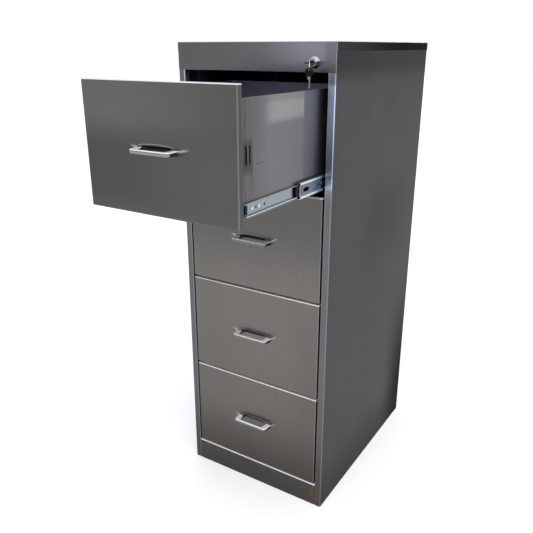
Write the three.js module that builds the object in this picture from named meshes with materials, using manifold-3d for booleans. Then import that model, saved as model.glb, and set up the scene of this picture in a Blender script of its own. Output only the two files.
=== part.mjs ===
// A four-drawer filing cabinet in sheet steel. Millimetres, +Z up, fronts face -Y, +X to the right.
// The origin is the centre of the footprint, on the surface that the cabinet stands on.
// The cabinet rests with its top drawer pulled out and the other three shut.
import * as THREE from 'three';
import { mergeVertices } from 'three/addons/utils/BufferGeometryUtils.js';
import Module from 'manifold-3d';

const wasm = await Module();
wasm.setup();

// Carcass
const WIDTH = 470;
const DEPTH = 630;
const HEIGHT = 1310;
const SHEET = 1; // thickness of the folded sheets
const GAP = 0.3; // play between neighbouring pieces
const STILE_WIDTH = 20; // front fold of a side panel
const STILE_RETURN = 18; // how far that fold turns back into the cabinet
const REAR_FOLD = 20;
const FASCIA_HEIGHT = 70;
const CAP_FLANGE = 22;
const PLINTH_TOP = 71.5;
const PLINTH_FLANGE = 22;
const BASE_FLANGE = 15;

// Drawers, counted from the top
const DRAWERS = 4;
const PITCH = 291;
const TOP_FRONT = 1233; // upper edge of the highest front
const FRONT_HEIGHT = 285;
const FRONT_WIDTH = 419;
const FRONT_DEPTH = 14.5;
const TRAY_WIDTH = 397.6;
const TRAY_DEPTH = 547;
const TRAY_RISE = 12; // tray floor above the front's lower edge
const TRAY_TOP = 257; // tray rim above the front's lower edge
const REST_OPENING = 362; // the top drawer stands this far out

// Handles: a bow pull with feet that widen towards the face
const HANDLE = { foot: 59, bar: 50, gap: 42, gapBar: 38, reach: 28, barDepth: 8, height: 10 };

// Telescopic slides, three members each
const SLIDE_RISE = 35; // slide centre above the front's lower edge
const SLIDE_SETBACK = 35; // front end of a closed slide behind the cabinet's front
const SLIDE_LENGTH = 500;
const SLIDE_PLATE = 1.2;
const MID_SHARE = 152 / 362; // the intermediate member moves this part of the drawer's travel

// Lock
const LOCK_X = 177.7;
const LOCK_Z = 1262.3;
const LOCK_SLOT = { width: 8.6, height: 2.8, depth: 18 };
const CRANK_RADIUS = 9;
const CRANK_PIN = 2.2;
const BAR_X = 216; // inner face of the lock bar
const BAR_Y = 40; // front edge of the lock bar behind the cabinet's front
const BAR_STRIP = { width: 16, thickness: 2, bottom: 70, top: 1276 };
const CATCH_RISE = 145.5; // centre of a lock catch above the front's lower edge
const CATCH_Y = { from: 33, to: 61 };
const CATCH_HEIGHT = 45;
const KEY_DISC = { radius: 11.3, thickness: 2.4, y: -27.5, hole: 3.2, holeAt: 6 };
const KEY_TILT = -Math.PI / 3; // plan direction in which the ring leaves the key
const RING = { radius: 7, wire: 0.8, at: 10.3, z: 1257.5 };

const FRONT = -DEPTH / 2;
const REAR = DEPTH / 2;
const SIDE_X = WIDTH / 2 - SHEET - GAP; // outer face of a side panel
const INNER_X = SIDE_X - SHEET; // inner face of a side panel
const STILE_X = SIDE_X - STILE_WIDTH; // edge of the drawer opening
const CAP_UNDER = HEIGHT - SHEET;
const FASCIA_BOTTOM = HEIGHT - FASCIA_HEIGHT;
const TRAY_X = TRAY_WIDTH / 2;

const finishes = {
  body: { color: 0x77767d, roughness: 0.34, metalness: 1 },
  front: { color: 0x6f6d6b, roughness: 0.3, metalness: 1 },
  inner: { color: 0x83838a, roughness: 0.4, metalness: 1 },
  chrome: { color: 0xe4e6ea, roughness: 0.07, metalness: 1 },
  zinc: { color: 0xb4c2c9, roughness: 0.3, metalness: 1 },
  plastic: { color: 0x101013, roughness: 0.4, metalness: 0 },
};

const cabinet = new THREE.Group();

// Geometry helpers

function box(x0, x1, y0, y1, z0, z1) {
  const shape = new THREE.BoxGeometry(x1 - x0, y1 - y0, z1 - z0);
  return shape.translate((x0 + x1) / 2, (y0 + y1) / 2, (z0 + z1) / 2);
}

function outline(points) {
  return new THREE.Shape(points.map(([u, v]) => new THREE.Vector2(u, v)));
}

// A sheet bent along a path, seen end on: the path is its outer face and the metal lies on its left.
function bentSheet(path, thickness) {
  const normals = path.slice(1).map(([u, v], i) => {
    const [du, dv] = [u - path[i][0], v - path[i][1]];
    const length = Math.hypot(du, dv);
    return [-dv / length, du / length];
  });
  const inner = path.map(([u, v], i) => {
    const a = normals[Math.max(i - 1, 0)];
    const b = normals[Math.min(i, normals.length - 1)];
    const scale = thickness / (1 + a[0] * b[0] + a[1] * b[1]);
    return [u + (a[0] + b[0]) * scale, v + (a[1] + b[1]) * scale];
  });
  return outline([...path, ...inner.reverse()]);
}

function extrude(shape, length) {
  return new THREE.ExtrudeGeometry(shape, { depth: length, bevelEnabled: false, curveSegments: 10 });
}

// A plan outline (x, y) raised from z0 to z1.
function upright(shape, z0, z1) {
  return extrude(shape, z1 - z0).translate(0, 0, z0);
}

// An elevation outline (x, z) drawn out from y0 to y1.
function lengthwise(shape, y0, y1) {
  return extrude(shape, y1 - y0).rotateX(Math.PI / 2).translate(0, y1, 0);
}

// A side outline (y, z) drawn out from x0 to x1.
function crosswise(shape, x0, x1) {
  const turn = new THREE.Matrix4().makeBasis(
    new THREE.Vector3(0, 1, 0),
    new THREE.Vector3(0, 0, 1),
    new THREE.Vector3(1, 0, 0),
  );
  return extrude(shape, x1 - x0).applyMatrix4(turn).translate(x0, 0, 0);
}

// A round bar along Y.
function rod(radius, x, z, y0, y1, sides = 32) {
  return new THREE.CylinderGeometry(radius, radius, y1 - y0, sides).translate(x, (y0 + y1) / 2, z);
}

function solid(geometry) {
  const bare = geometry.clone();
  bare.deleteAttribute('normal');
  bare.deleteAttribute('uv');
  const merged = mergeVertices(bare, 1e-4);
  return new wasm.Manifold(new wasm.Mesh({
    numProp: 3,
    vertProperties: new Float32Array(merged.attributes.position.array),
    triVerts: new Uint32Array(merged.index.array),
  }));
}

function geometryOf(manifold) {
  const mesh = manifold.getMesh();
  const geometry = new THREE.BufferGeometry();
  geometry.setAttribute('position', new THREE.BufferAttribute(mesh.vertProperties, 3));
  geometry.setIndex(new THREE.BufferAttribute(mesh.triVerts, 1));
  return geometry;
}

function join(...pieces) {
  return geometryOf(pieces.map(solid).reduce((whole, piece) => whole.add(piece)));
}

function cut(body, ...tools) {
  return geometryOf(tools.map(solid).reduce((whole, tool) => whole.subtract(tool), solid(body)));
}

function mirrorX(geometry) {
  const copy = geometry.clone().scale(-1, 1, 1);
  const index = copy.index ?? new THREE.BufferAttribute(
    Uint32Array.from({ length: copy.attributes.position.count }, (_, i) => i), 1);
  const flipped = Array.from(index.array);
  for (let i = 0; i < flipped.length; i += 3) {
    [flipped[i], flipped[i + 1]] = [flipped[i + 1], flipped[i]];
  }
  copy.setIndex(flipped);
  return copy;
}

function add(group, name, geometry, finish) {
  const mesh = new THREE.Mesh(geometry, new THREE.MeshStandardMaterial(finishes[finish]));
  mesh.name = name;
  group.add(mesh);
  return mesh;
}

function addPair(group, name, geometry, finish) {
  add(group, `${name}_right`, geometry, finish);
  add(group, `${name}_left`, mirrorX(geometry), finish);
}

// Carcass

function sidePanel() {
  const fold = bentSheet([
    [STILE_X, FRONT + STILE_RETURN],
    [STILE_X, FRONT],
    [SIDE_X, FRONT],
    [SIDE_X, REAR],
    [SIDE_X - REAR_FOLD, REAR],
  ], SHEET);
  const panel = upright(fold, 0, CAP_UNDER - GAP);
  const behindFascia = FRONT + SHEET + GAP;
  const stileTop = FASCIA_BOTTOM - GAP;
  return cut(
    panel,
    box(STILE_X - 5, SIDE_X + 5, FRONT - 5, behindFascia, stileTop, HEIGHT),
    box(STILE_X - 5, INNER_X, FRONT - 5, FRONT + STILE_RETURN + 5, stileTop, HEIGHT),
    box(SIDE_X - REAR_FOLD - 5, SIDE_X + 5, REAR - SHEET - GAP, REAR + 5, HEIGHT - CAP_FLANGE - GAP, HEIGHT),
  );
}

function topCap() {
  const half = WIDTH / 2;
  const shell = box(-half, half, FRONT, REAR, FASCIA_BOTTOM, HEIGHT);
  const hollow = box(-half + SHEET, half - SHEET, FRONT + SHEET, REAR - SHEET, 0, CAP_UNDER);
  const belowFlanges = HEIGHT - CAP_FLANGE;
  const sides = [-1, 1].map((side) => box(
    Math.min(side * SIDE_X, side * (half + 5)),
    Math.max(side * SIDE_X, side * (half + 5)),
    FRONT - 5,
    REAR + 5,
    0,
    belowFlanges,
  ));
  const back = box(-half - 5, half + 5, FRONT + SHEET, REAR + 5, 0, belowFlanges);
  const hem = box(-STILE_X + GAP, STILE_X - GAP, FRONT, FRONT + 12, FASCIA_BOTTOM, FASCIA_BOTTOM + SHEET);
  const lockHole = rod(9.5 + GAP, LOCK_X, LOCK_Z, FRONT - 5, FRONT + 5);
  return cut(join(cut(shell, hollow, ...sides, back), hem), lockHole);
}

function basePanel() {
  const half = INNER_X - GAP;
  const front = FRONT + SHEET + GAP;
  const rear = REAR - 2 * SHEET - 2 * GAP - GAP;
  const tray = cut(
    box(-half, half, front, rear, 0, BASE_FLANGE),
    box(-half + SHEET, half - SHEET, front + SHEET, rear - SHEET, SHEET, BASE_FLANGE + 5),
  );
  const notchX = STILE_X - GAP;
  const notchY = FRONT + STILE_RETURN + GAP;
  return cut(
    tray,
    box(notchX, half + 5, front - 5, notchY, -5, BASE_FLANGE + 5),
    box(-half - 5, -notchX, front - 5, notchY, -5, BASE_FLANGE + 5),
  );
}

function plinth() {
  const fold = bentSheet([
    [FRONT + PLINTH_FLANGE, PLINTH_TOP],
    [FRONT, PLINTH_TOP],
    [FRONT, 0],
  ], SHEET);
  return crosswise(fold, -STILE_X + GAP, STILE_X - GAP);
}

const UPRIGHT_INNER = TRAY_X + GAP + 12.7 + GAP; // face that the slides are fixed to
const UPRIGHT_BOTTOM = BASE_FLANGE + GAP;
const UPRIGHT_TOP = HEIGHT - 40;
const UPRIGHT_WIDTH = 38;
const FRONT_UPRIGHT_Y = FRONT + 62;
const REAR_UPRIGHT_Y = FRONT + 470;

function slideUpright(y0) {
  const fold = bentSheet([
    [INNER_X - GAP, y0 + UPRIGHT_WIDTH],
    [UPRIGHT_INNER, y0 + UPRIGHT_WIDTH],
    [UPRIGHT_INNER, y0],
    [INNER_X - GAP, y0],
  ], SHEET);
  return upright(fold, UPRIGHT_BOTTOM, UPRIGHT_TOP);
}

addPair(cabinet, 'side_panel', sidePanel(), 'body');
add(cabinet, 'top_cap', topCap(), 'body');
add(cabinet, 'base_panel', basePanel(), 'body');
add(cabinet, 'plinth', plinth(), 'body');
add(
  cabinet,
  'back_panel',
  box(-INNER_X + GAP, INNER_X - GAP, REAR - 2 * SHEET - GAP, REAR - SHEET - GAP, 3, CAP_UNDER - 5),
  'body',
);
addPair(cabinet, 'front_upright', slideUpright(FRONT_UPRIGHT_Y), 'inner');
addPair(cabinet, 'rear_upright', slideUpright(REAR_UPRIGHT_Y), 'inner');

// Slides: sections drawn for the right-hand side, centred on z = 0

const SLIDE_INNER_X = TRAY_X + GAP; // face fixed to the tray
const SLIDE_OUTER_X = UPRIGHT_INNER - GAP; // face fixed to the upright

function innerSection() {
  return bentSheet([
    [SLIDE_INNER_X + 6.4, 14.7],
    [SLIDE_INNER_X, 14.7],
    [SLIDE_INNER_X, -14.7],
    [SLIDE_INNER_X + 6.4, -14.7],
  ], SLIDE_PLATE);
}

function midSection() {
  const web = SLIDE_INNER_X + 7.2;
  return outline([
    [web - 4.8, 18.75],
    [web + 3, 18.75],
    [web + 3, 17.4],
    [web + SLIDE_PLATE, 17.4],
    [web + SLIDE_PLATE, -17.4],
    [web + 3, -17.4],
    [web + 3, -18.75],
    [web - 4.8, -18.75],
    [web - 4.8, -17.4],
    [web, -17.4],
    [web, 17.4],
    [web - 4.8, 17.4],
  ]);
}

function outerSection() {
  return bentSheet([
    [SLIDE_OUTER_X - 8.6, -22.85],
    [SLIDE_OUTER_X, -22.85],
    [SLIDE_OUTER_X, 22.85],
    [SLIDE_OUTER_X - 8.6, 22.85],
  ], SLIDE_PLATE);
}

const slideFront = FRONT + SLIDE_SETBACK;
const innerMember = lengthwise(innerSection(), slideFront - 2, slideFront + SLIDE_LENGTH - 12);
const midMember = cut(
  lengthwise(midSection(), slideFront + 2, slideFront + SLIDE_LENGTH - 16),
  box(SLIDE_INNER_X + 5, SLIDE_INNER_X + 10, slideFront + 18, slideFront + 46, -5, 5),
);
const outerMember = lengthwise(outerSection(), slideFront, slideFront + SLIDE_LENGTH);

// Drawers

const FRONT_X = FRONT_WIDTH / 2;

// The front is a pan, open towards the tray.
function drawerFront(bottom) {
  const top = bottom + FRONT_HEIGHT;
  return cut(
    box(-FRONT_X, FRONT_X, FRONT, FRONT + FRONT_DEPTH, bottom, top),
    box(
      -FRONT_X + SHEET,
      FRONT_X - SHEET,
      FRONT + SHEET,
      FRONT + FRONT_DEPTH + 5,
      bottom + SHEET,
      top - SHEET,
    ),
  );
}

function drawerBody(bottom) {
  const y0 = FRONT + FRONT_DEPTH + GAP;
  const y1 = y0 + TRAY_DEPTH;
  const z0 = bottom + TRAY_RISE;
  const z1 = bottom + TRAY_TOP;
  const catchZ = bottom + CATCH_RISE;
  return cut(
    box(-TRAY_X, TRAY_X, y0, y1, z0, z1),
    box(-TRAY_X + SHEET, TRAY_X - SHEET, y0 + SHEET, y1 - SHEET, z0 + SHEET, z1 + 5),
    box(
      TRAY_X - 5,
      TRAY_X + 5,
      FRONT + CATCH_Y.from + 3,
      FRONT + CATCH_Y.to - 3,
      catchZ - CATCH_HEIGHT / 2 + 3,
      catchZ + CATCH_HEIGHT / 2 - 3,
    ),
  );
}

// The catch is a plate behind the window in the tray's right side, with a lip that stands out through it.
function lockCatch(bottom) {
  const z = bottom + CATCH_RISE;
  const half = CATCH_HEIGHT / 2;
  const face = TRAY_X - SHEET - GAP;
  const lipY = FRONT + (CATCH_Y.from + CATCH_Y.to) / 2 - 2;
  return join(
    box(face - 1.5, face, FRONT + CATCH_Y.from, FRONT + CATCH_Y.to, z - half, z + half),
    box(face - 0.5, TRAY_X + 1, lipY, lipY + 1.6, z - half + 4, z + half - 4),
  );
}

function handle(z) {
  const face = FRONT - GAP;
  const shape = new THREE.Shape();
  const front = face - HANDLE.reach;
  const back = front + HANDLE.barDepth;
  shape.moveTo(-HANDLE.foot, face);
  shape.lineTo(-HANDLE.bar - 3, front + 8);
  shape.quadraticCurveTo(-HANDLE.bar, front, -HANDLE.bar + 9, front);
  shape.lineTo(HANDLE.bar - 9, front);
  shape.quadraticCurveTo(HANDLE.bar, front, HANDLE.bar + 3, front + 8);
  shape.lineTo(HANDLE.foot, face);
  shape.lineTo(HANDLE.gap, face);
  shape.quadraticCurveTo(HANDLE.gapBar + 2, back, HANDLE.gapBar - 6, back);
  shape.lineTo(-HANDLE.gapBar + 6, back);
  shape.quadraticCurveTo(-HANDLE.gapBar - 2, back, -HANDLE.gap, face);
  return upright(shape, z - HANDLE.height / 2, z + HANDLE.height / 2);
}

for (let i = 0; i < DRAWERS; i += 1) {
  const number = i + 1;
  const bottom = TOP_FRONT - FRONT_HEIGHT - i * PITCH;
  const slideZ = bottom + SLIDE_RISE;
  const drawer = new THREE.Group();
  const mids = new THREE.Group();
  const opening = i === 0 ? REST_OPENING : 0;
  drawer.position.y = -opening;
  mids.position.y = -opening * MID_SHARE;
  cabinet.add(drawer, mids);
  add(drawer, `drawer_${number}_front`, drawerFront(bottom), 'front');
  add(drawer, `drawer_${number}_body`, drawerBody(bottom), 'inner');
  add(drawer, `drawer_${number}_handle`, handle(bottom + FRONT_HEIGHT / 2), 'chrome');
  add(drawer, `drawer_${number}_lock_catch`, lockCatch(bottom), 'inner');
  addPair(drawer, `drawer_${number}_slide_inner`, innerMember.clone().translate(0, 0, slideZ), 'zinc');
  addPair(mids, `drawer_${number}_slide_mid`, midMember.clone().translate(0, 0, slideZ), 'zinc');
  addPair(cabinet, `drawer_${number}_slide_outer`, outerMember.clone().translate(0, 0, slideZ), 'zinc');
}

// Lock: the plug turns in the housing, and its cam lowers the lock bar by a crank pin in a slot

const CAM_Y = FRONT + 33;
const YOKE_Y = FRONT + BAR_Y;

function lockHousing() {
  const shell = join(
    rod(13.5, LOCK_X, LOCK_Z, FRONT - 4, FRONT - GAP),
    rod(11, LOCK_X, LOCK_Z, FRONT - 13, FRONT - 3),
    rod(9.5, LOCK_X, LOCK_Z, FRONT - 1, CAM_Y - 3),
  );
  return cut(shell, rod(7.5, LOCK_X, LOCK_Z, FRONT - 20, CAM_Y + 20));
}

function lockPlug() {
  const barrel = rod(7.2, LOCK_X, LOCK_Z, FRONT - 13.5, CAM_Y - GAP);
  const keyway = box(
    LOCK_X - LOCK_SLOT.width / 2,
    LOCK_X + LOCK_SLOT.width / 2,
    FRONT - 20,
    FRONT - 13.5 + LOCK_SLOT.depth,
    LOCK_Z - LOCK_SLOT.height / 2,
    LOCK_Z + LOCK_SLOT.height / 2,
  );
  return cut(barrel, keyway);
}

function lockNut() {
  const y0 = FRONT + SHEET + GAP;
  const nut = rod(13, LOCK_X, LOCK_Z, y0, y0 + 5, 6);
  return cut(nut, rod(9.8, LOCK_X, LOCK_Z, y0 - 5, y0 + 10));
}

const CRANK_X = LOCK_X + CRANK_RADIUS * Math.SQRT1_2;
const CRANK_Z = LOCK_Z + CRANK_RADIUS * Math.SQRT1_2;

function lockCam() {
  return join(
    rod(13, LOCK_X, LOCK_Z, CAM_Y, CAM_Y + 3),
    rod(CRANK_PIN, CRANK_X, CRANK_Z, CAM_Y + 2, CAM_Y + 12, 20),
  );
}

function lockBar() {
  const outer = BAR_X + BAR_STRIP.thickness;
  const strip = box(BAR_X, outer, YOKE_Y, YOKE_Y + BAR_STRIP.width, BAR_STRIP.bottom, BAR_STRIP.top);
  const yoke = box(LOCK_X, outer, YOKE_Y, YOKE_Y + 2, CRANK_Z - 7, BAR_STRIP.top);
  const hooks = Array.from({ length: DRAWERS }, (_, i) => {
    const catchZ = TOP_FRONT - FRONT_HEIGHT - i * PITCH + CATCH_RISE;
    return box(TRAY_X + 3.7, BAR_X + 1, YOKE_Y + 5, YOKE_Y + 8, catchZ + 24, catchZ + 44);
  });
  const play = 0.6;
  const slot = box(
    CRANK_X - CRANK_PIN - play,
    LOCK_X + CRANK_RADIUS + CRANK_PIN + play,
    YOKE_Y - 5,
    YOKE_Y + 5,
    CRANK_Z - CRANK_PIN - play,
    CRANK_Z + CRANK_PIN + play,
  );
  return cut(join(strip, yoke, ...hooks), slot);
}

function barGuide(z) {
  const inner = YOKE_Y + BAR_STRIP.width + 1;
  const rear = FRONT_UPRIGHT_Y - GAP;
  const body = box(BAR_X - 2.1, BAR_X + BAR_STRIP.thickness + 2.1, YOKE_Y + 6, rear, z, z + 30);
  const channel = box(
    BAR_X - 0.6,
    BAR_X + BAR_STRIP.thickness + 0.6,
    YOKE_Y,
    inner,
    z - 5,
    z + 35,
  );
  return cut(body, channel);
}

function disc(radius, thickness, sides = 32) {
  return new THREE.CylinderGeometry(radius, radius, thickness, sides);
}

// The bow of the key in the lock lies flat; the ring passes through it near its rim.
function keyInLock() {
  const y = FRONT + KEY_DISC.y;
  const bow = disc(KEY_DISC.radius, KEY_DISC.thickness).rotateX(Math.PI / 2).translate(LOCK_X, y, LOCK_Z);
  const hole = disc(KEY_DISC.hole, 10, 24).rotateX(Math.PI / 2).translate(
    LOCK_X + KEY_DISC.holeAt * Math.cos(KEY_TILT),
    y + KEY_DISC.holeAt * Math.sin(KEY_TILT),
    LOCK_Z,
  );
  const blade = box(LOCK_X - 3.9, LOCK_X + 3.9, y + 8, FRONT + 2, LOCK_Z - 1, LOCK_Z + 1);
  return cut(join(bow, blade), hole);
}

const RING_X = LOCK_X + RING.at * Math.cos(KEY_TILT);
const RING_Y = FRONT + KEY_DISC.y + RING.at * Math.sin(KEY_TILT);

function keyRing() {
  return new THREE.TorusGeometry(RING.radius, RING.wire, 10, 36)
    .rotateX(Math.PI / 2)
    .rotateZ(KEY_TILT)
    .translate(RING_X, RING_Y, RING.z);
}

add(cabinet, 'lock_housing', lockHousing(), 'chrome');
add(cabinet, 'lock_plug', lockPlug(), 'chrome');
add(cabinet, 'lock_nut', lockNut(), 'zinc');
add(cabinet, 'lock_cam', lockCam(), 'zinc');
add(cabinet, 'lock_bar', lockBar(), 'zinc');
add(cabinet, 'lock_bar_guide_upper', barGuide(1155), 'zinc');
add(cabinet, 'lock_bar_guide_lower', barGuide(290), 'zinc');
add(cabinet, 'key_in_lock', keyInLock(), 'plastic');
add(cabinet, 'key_ring', keyRing(), 'chrome');

export default cabinet;
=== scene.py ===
"""The looks of a four-drawer steel filing cabinet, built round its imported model.

Run as a script. Every piece is in metres, in the model's own frame: +Z up, drawer fronts facing -Y.
"""

import math

import bmesh
import bpy
from mathutils import Matrix, Vector


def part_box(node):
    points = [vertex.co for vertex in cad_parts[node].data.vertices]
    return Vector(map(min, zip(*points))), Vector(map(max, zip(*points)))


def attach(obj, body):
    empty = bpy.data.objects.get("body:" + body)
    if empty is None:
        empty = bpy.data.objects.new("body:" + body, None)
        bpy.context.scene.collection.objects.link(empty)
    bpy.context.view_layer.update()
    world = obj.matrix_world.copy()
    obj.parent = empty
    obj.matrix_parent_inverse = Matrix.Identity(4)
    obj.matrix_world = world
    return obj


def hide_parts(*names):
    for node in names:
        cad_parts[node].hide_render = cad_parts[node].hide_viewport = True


bl_info = {
    "name": "Filing Cabinet",
    "version": (1, 0, 0),
    "blender": (4, 5, 0),
    "location": "View3D > Sidebar > Cabinet",
    "description": "Builds the sheet-metal, chrome and zinc pieces of a four-drawer filing cabinet",
    "category": "Add Mesh",
}

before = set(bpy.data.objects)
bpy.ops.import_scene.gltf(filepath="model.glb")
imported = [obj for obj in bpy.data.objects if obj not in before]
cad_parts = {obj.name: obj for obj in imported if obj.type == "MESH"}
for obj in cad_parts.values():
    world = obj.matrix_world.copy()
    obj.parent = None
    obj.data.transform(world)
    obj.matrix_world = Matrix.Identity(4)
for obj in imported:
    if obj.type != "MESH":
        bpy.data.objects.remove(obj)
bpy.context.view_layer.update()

DRAWERS = range(1, 5)
SIDES = {"right": 1, "left": -1}
PAINTED_LIGHT = "painted_light"  # 0 to 1: each face's painted light: a painted highlight on steel and zinc bends, and on chrome its painted reflection from dark to white
UPRIGHT, ACROSS = (1, 1, 0.012), (0.012, 1, 1)  # noise stretched into a grain along Z or along X
BLACK, WHITE = (0.0, 0.0, 0.0), (1.0, 1.0, 1.0)
MIX_FACTOR, MIX_FIRST, MIX_SECOND, MIX_COLOUR = 0, 6, 7, 2  # a colour Mix node's sockets
QUARTER_TURN = math.radians(90)
TOUCHING, NEAR = 1e-6, 1e-5  # closer than this counts as the same place, or as almost the same
SLIDE_WALL = 0.0011
MID_LIP = 0.0026  # turned edge at the front of a middle member, which takes a painted highlight


# ---------------------------------------------------------------- settings


def colour_setting(name, description, default):
    """A colour the user can change."""
    return bpy.props.FloatVectorProperty(
        name=name, description=description, default=default, subtype="COLOR")


def number_setting(name, description, default, **kind):
    """A number the user can change, with its unit or subtype."""
    return bpy.props.FloatProperty(name=name, description=description, default=default, **kind)


class SheetSettings(bpy.types.PropertyGroup):
    """Sizes of the folded sheet"""

    thickness: number_setting("Sheet", "Thickness of the carcass sheet", 0.001, unit="LENGTH")
    bend: number_setting("Bend", "Outer radius of the carcass folds", 0.0024, unit="LENGTH")
    front_bend: number_setting("Front bend", "Outer radius round a drawer front", 0.0022, unit="LENGTH")
    edge: number_setting("Edge", "Rounding of cut edges", 0.0003, unit="LENGTH")


class FinishSettings(bpy.types.PropertyGroup):
    """Colours and glosses of the metals and plastics"""

    carcass: colour_setting("Carcass", "Colour of the top cap and stiles", (0.135, 0.134, 0.138))
    # A darker copy of the carcass colour: painted shade on the sides.
    side: colour_setting("Side", "Colour of the side panels", (0.083, 0.083, 0.081))
    front: colour_setting("Front", "Colour of the drawer fronts", (0.162, 0.154, 0.144))
    inner: colour_setting("Inner", "Colour of the drawer bodies", (0.188, 0.186, 0.194))
    chrome: colour_setting("Chrome", "Colour of the handles and lock", (0.90, 0.91, 0.92))
    zinc: colour_setting("Zinc", "Colour of the plated slides", (0.265, 0.295, 0.315))
    plastic: colour_setting("Plastic", "Colour of the key heads and slide ends", (0.0018, 0.0018, 0.0024))
    gloss: number_setting(
        "Steel roughness", "Roughness of the brushed sheet", 0.27, min=0.0, max=1.0, subtype="FACTOR")


class StageSettings(bpy.types.PropertyGroup):
    """Camera, floor and light"""

    eye: bpy.props.FloatVectorProperty(
        name="Camera", description="Where the camera stands", subtype="TRANSLATION",
        default=(0.87478, -1.62712, 1.29693))
    turn: number_setting("Turn", "Camera heading", math.radians(32.325), subtype="ANGLE")
    tilt: number_setting("Tilt", "How far the camera looks down", math.radians(20.02), subtype="ANGLE")
    lens: number_setting("Lens", "Focal length in millimetres", 40.72)
    floor: colour_setting("Floor", "Colour of the floor", (0.88, 0.88, 0.88))
    glow: number_setting("Floor glow", "How far the floor is lit from below", 0.32)
    sky: number_setting("Surround", "Brightness of the surroundings", 1.0)
    key: number_setting("Key", "Strength of the wide main light", 1.8)
    key_width: number_setting(
        "Key width", "Width of the main light in the sky", math.radians(50), subtype="ANGLE")
    fill: number_setting("Fill", "Strength of the second light", 0.6)


class CabinetSettings(bpy.types.PropertyGroup):
    """Everything a user would change"""

    sheet: bpy.props.PointerProperty(type=SheetSettings)
    finish: bpy.props.PointerProperty(type=FinishSettings)
    stage: bpy.props.PointerProperty(type=StageSettings)


# ---------------------------------------------------------------- shader maths


def operator(operation, swapped=False):
    """A Python operator that adds one maths node."""
    def apply(self, other):
        pair = (other, self) if swapped else (self, other)
        return self.book.node("ShaderNodeMath", {"operation": operation}, pair)
    return apply


class Value:
    """A shader socket that can be used in Python expressions."""

    def __init__(self, book, socket):
        self.book = book
        self.socket = socket

    __add__, __radd__ = operator("ADD"), operator("ADD", True)
    __sub__, __rsub__ = operator("SUBTRACT"), operator("SUBTRACT", True)
    __mul__, __rmul__ = operator("MULTIPLY"), operator("MULTIPLY", True)
    __mod__ = operator("MODULO")

    def clamped(self):
        return self.book.node("ShaderNodeClamp", {}, (self,))


class NodeBook:
    """The node tree of one material, or of another owner with its own shader node."""

    def __init__(self, name, owner=None, shader="Principled BSDF"):
        self.owner = owner or bpy.data.materials.new(name)
        self.owner.use_nodes = True
        self.tree = self.owner.node_tree
        self.shader = self.tree.nodes[shader]

    def node(self, kind, settings, inputs=(), output=0):
        """Adds a node, sets it up, feeds its sockets and returns one output."""
        made = self.tree.nodes.new(kind)
        for key, value in settings.items():
            setattr(made, key, value)
        pairs = inputs.items() if isinstance(inputs, dict) else enumerate(inputs)
        for key, value in pairs:
            self.feed(made.inputs[key], value)
        return Value(self, made.outputs[output])

    def feed(self, socket, value):
        """Links a socket to a value, or sets it to a constant."""
        if isinstance(value, Value):
            self.tree.links.new(value.socket, socket)
        elif hasattr(value, "__len__") and len(value) == 3 and socket.type == "RGBA":
            socket.default_value = (*value, 1.0)
        else:
            socket.default_value = value

    def ramp(self, value, stops):
        """A colour that runs through stops of (place, colour)."""
        colour = self.node("ShaderNodeValToRGB", {}, (value,))
        elements = colour.socket.node.color_ramp.elements
        while len(elements) < len(stops):
            elements.new(1.0)
        for element, (place, shade) in zip(elements, stops):
            element.position = place
            element.color = (*shade, 1.0)
        return colour

    def place(self, scale=(1, 1, 1), location=(0, 0, 0)):
        """Object coordinates, stretched and shifted."""
        coordinates = self.node("ShaderNodeTexCoord", {}, (), "Object")
        return self.node(
            "ShaderNodeMapping", {}, {"Vector": coordinates, "Scale": scale, "Location": location})

    def axis(self, letter):
        """One object coordinate, in metres."""
        coordinates = self.node("ShaderNodeTexCoord", {}, (), "Object")
        return self.node("ShaderNodeSeparateXYZ", {}, (coordinates,), letter)

    def axes(self):
        return [self.axis(letter) for letter in "XYZ"]

    def painted_light(self):
        """The piece's painted light, face by face: painted highlights and reflections."""
        return self.node("ShaderNodeAttribute", {"attribute_name": PAINTED_LIGHT}, (), "Fac")

    def distance(self, place, point):
        return self.node("ShaderNodeVectorMath", {"operation": "DISTANCE"}, (place, point), "Value")

    def noise(self, scale, stretch=(1, 1, 1), detail=2.0, shift=(0, 0, 0)):
        return self.node(
            "ShaderNodeTexNoise", {},
            {"Vector": self.place(stretch, shift), "Scale": scale, "Detail": detail, "Roughness": 0.6},
            "Fac")

    def band(self, value, low, high):
        """0 below low, 1 above high, and smooth between."""
        return self.node(
            "ShaderNodeMapRange", {"interpolation_type": "SMOOTHSTEP"},
            {"Value": value, "From Min": low, "From Max": high})

    def fade(self, value, low, high):
        """1 below low, 0 above high, and smooth between."""
        return 1 - self.band(value, low, high)

    def between(self, value, start, full, ending, end):
        """Rises from start to full, and falls from ending to end."""
        return self.band(value, start, full) * self.fade(value, ending, end)

    def beyond(self, value, near, far):
        """0 up to near on both sides of zero, 1 past far."""
        return self.band(value * value, near ** 2, far ** 2)

    def within(self, value, near, far):
        """1 up to near on both sides of zero, 0 past far."""
        return 1 - self.beyond(value, near, far)

    def blend(self, factor, first, second, kind="MIX"):
        """A colour between two others."""
        inputs = {MIX_FACTOR: factor, MIX_FIRST: first, MIX_SECOND: second}
        return self.node("ShaderNodeMix", {"data_type": "RGBA", "blend_type": kind}, inputs, MIX_COLOUR)

    def coats(self, base, *layers):
        """Lays (factor, colour) layers over a base in turn."""
        for factor, colour in layers:
            base = self.blend(factor, base, colour)
        return base

    def bump(self, height, distance, strength=1.0):
        bumped = self.node(
            "ShaderNodeBump", {}, {"Strength": strength, "Distance": distance, "Height": height})
        self.feed(self.shader.inputs["Normal"], bumped)

    def set(self, **values):
        """Feeds the shader's own sockets."""
        for key, value in values.items():
            self.feed(self.shader.inputs[key.replace("_", " ")], value)


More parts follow.
